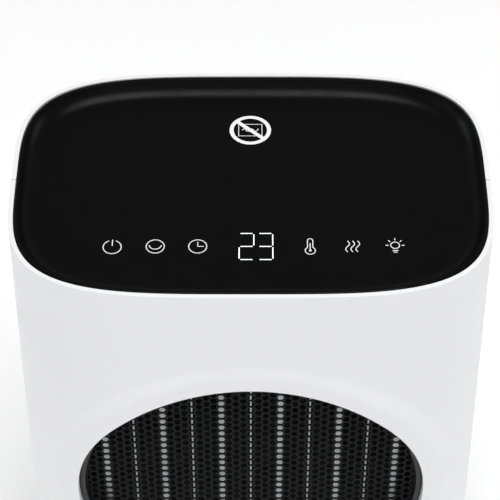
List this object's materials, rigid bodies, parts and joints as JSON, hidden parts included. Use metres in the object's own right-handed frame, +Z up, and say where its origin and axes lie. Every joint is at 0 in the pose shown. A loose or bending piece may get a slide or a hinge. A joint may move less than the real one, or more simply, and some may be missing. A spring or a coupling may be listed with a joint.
{
  "type": "ceramic space heater",
  "caption": "Upright ceramic fan heater with a dished touch panel, round front outlet, lift-off rear filter cover and a round swivelling base.",
  "frame": {"origin": "on the floor under the swivel axis, at the middle of the object's box", "axes": "+Z up along the swivel axis; the air outlet faces -Y; +X is to the right seen from the front"},
  "size_m": [0.1906, 0.15, 0.275],
  "materials": {
    "white_abs": "satin moulded ABS",
    "black_panel": "gloss black moulded panel with printed icons",
    "black_abs": "fine-textured moulded ABS",
    "black_steel": "black powder-coated perforated steel",
    "aluminium": "bright rolled",
    "high_heat_plastic": "glass-filled, cream",
    "steel": "zinc plated",
    "copper_wire": "enamelled copper winding",
    "circuit_board": "green solder mask",
    "filter_net": "woven nylon net",
    "cable_red": "silicone-sleeved lead",
    "acetal": "natural acetal",
    "rubber": "matt moulded rubber"
  },
  "bodies": {
    "base": {"base_shell": "white_abs", "base_cover": "black_abs", "glide_ring": "acetal", "rubber_foot_1": "rubber", "rubber_foot_2": "rubber", "rubber_foot_3": "rubber", "rubber_foot_4": "rubber", "tip_switch": "black_abs", "tip_spring": "steel"},
    "fan_rotor": {"fan_impeller": "black_abs", "motor_rotor": "steel"},
    "swing_crank": {"swing_crank": "acetal"},
    "tip_plunger": {"tip_plunger": "acetal"},
    "power_rocker": {"power_rocker": "black_abs"},
    "filter_cover": {"filter_cover": "white_abs", "filter_mesh": "filter_net"},
    "heater_body": {"front_shell": "white_abs", "rear_shell": "white_abs", "touch_panel": "black_panel", "guard_ring": "black_abs", "intake_grille": "black_abs", "hand_grip": "black_abs", "switch_housing": "black_abs", "cord_gland": "black_abs", "bottom_plate": "black_abs", "fan_shroud": "black_abs", "display_module": "black_abs", "room_sensor": "black_abs", "outlet_guard": "black_steel", "ptc_bar_1": "aluminium", "ptc_bar_2": "aluminium", "ptc_bar_3": "aluminium", "ptc_bar_4": "aluminium", "ptc_bar_5": "aluminium", "ptc_bar_6": "aluminium", "fin_pack_1": "aluminium", "fin_pack_2": "aluminium", "fin_pack_3": "aluminium", "fin_pack_4": "aluminium", "fin_pack_5": "aluminium", "fin_pack_6": "aluminium", "fin_pack_7": "aluminium", "motor_frame": "aluminium", "heater_frame_top": "high_heat_plastic", "heater_frame_bottom": "high_heat_plastic", "thermal_fuse": "high_heat_plastic", "light_box": "high_heat_plastic", "thermal_cutout": "steel", "motor_stator": "steel", "swing_motor": "steel", "retaining_ring": "steel", "shell_screw_1": "steel", "shell_screw_2": "steel", "shell_screw_3": "steel", "shell_screw_4": "steel", "motor_coil": "copper_wire", "control_board": "circuit_board", "main_board": "circuit_board", "heater_lead": "cable_red", "motor_lead": "cable_red"}
  },
  "joints": [
    {"name": "swivel", "type": "hinge", "parent": "base", "child": "heater_body", "pos_m": [0, 0, 0.0275], "axis": [0, 0, 1], "range_deg": [-30, 30]},
    {"name": "fan_spin", "type": "hinge", "parent": "heater_body", "child": "fan_rotor", "pos_m": [0, 0, 0.152], "axis": [0, 1, 0], "continuous": true},
    {"name": "crank_spin", "type": "hinge", "parent": "heater_body", "child": "swing_crank", "pos_m": [0, -0.03, 0.0225], "axis": [0, 0, 1], "continuous": true},
    {"name": "tip_switch_travel", "type": "slide", "parent": "base", "child": "tip_plunger", "axis": [0, 0, 1], "range_m": [-0.004, 0], "stiffness_N_per_m": 30, "springref_m": -0.006, "deforming": ["tip_spring"]},
    {"name": "rocker_tilt", "type": "hinge", "parent": "heater_body", "child": "power_rocker", "pos_m": [0.026, 0.0586, 0.052], "axis": [-1, 0, 0], "range_deg": [0, 16]},
    {"name": "filter_cover_pull", "type": "slide", "parent": "heater_body", "child": "filter_cover", "axis": [0, 1, 0], "range_m": [0, 0.04]}
  ]
}
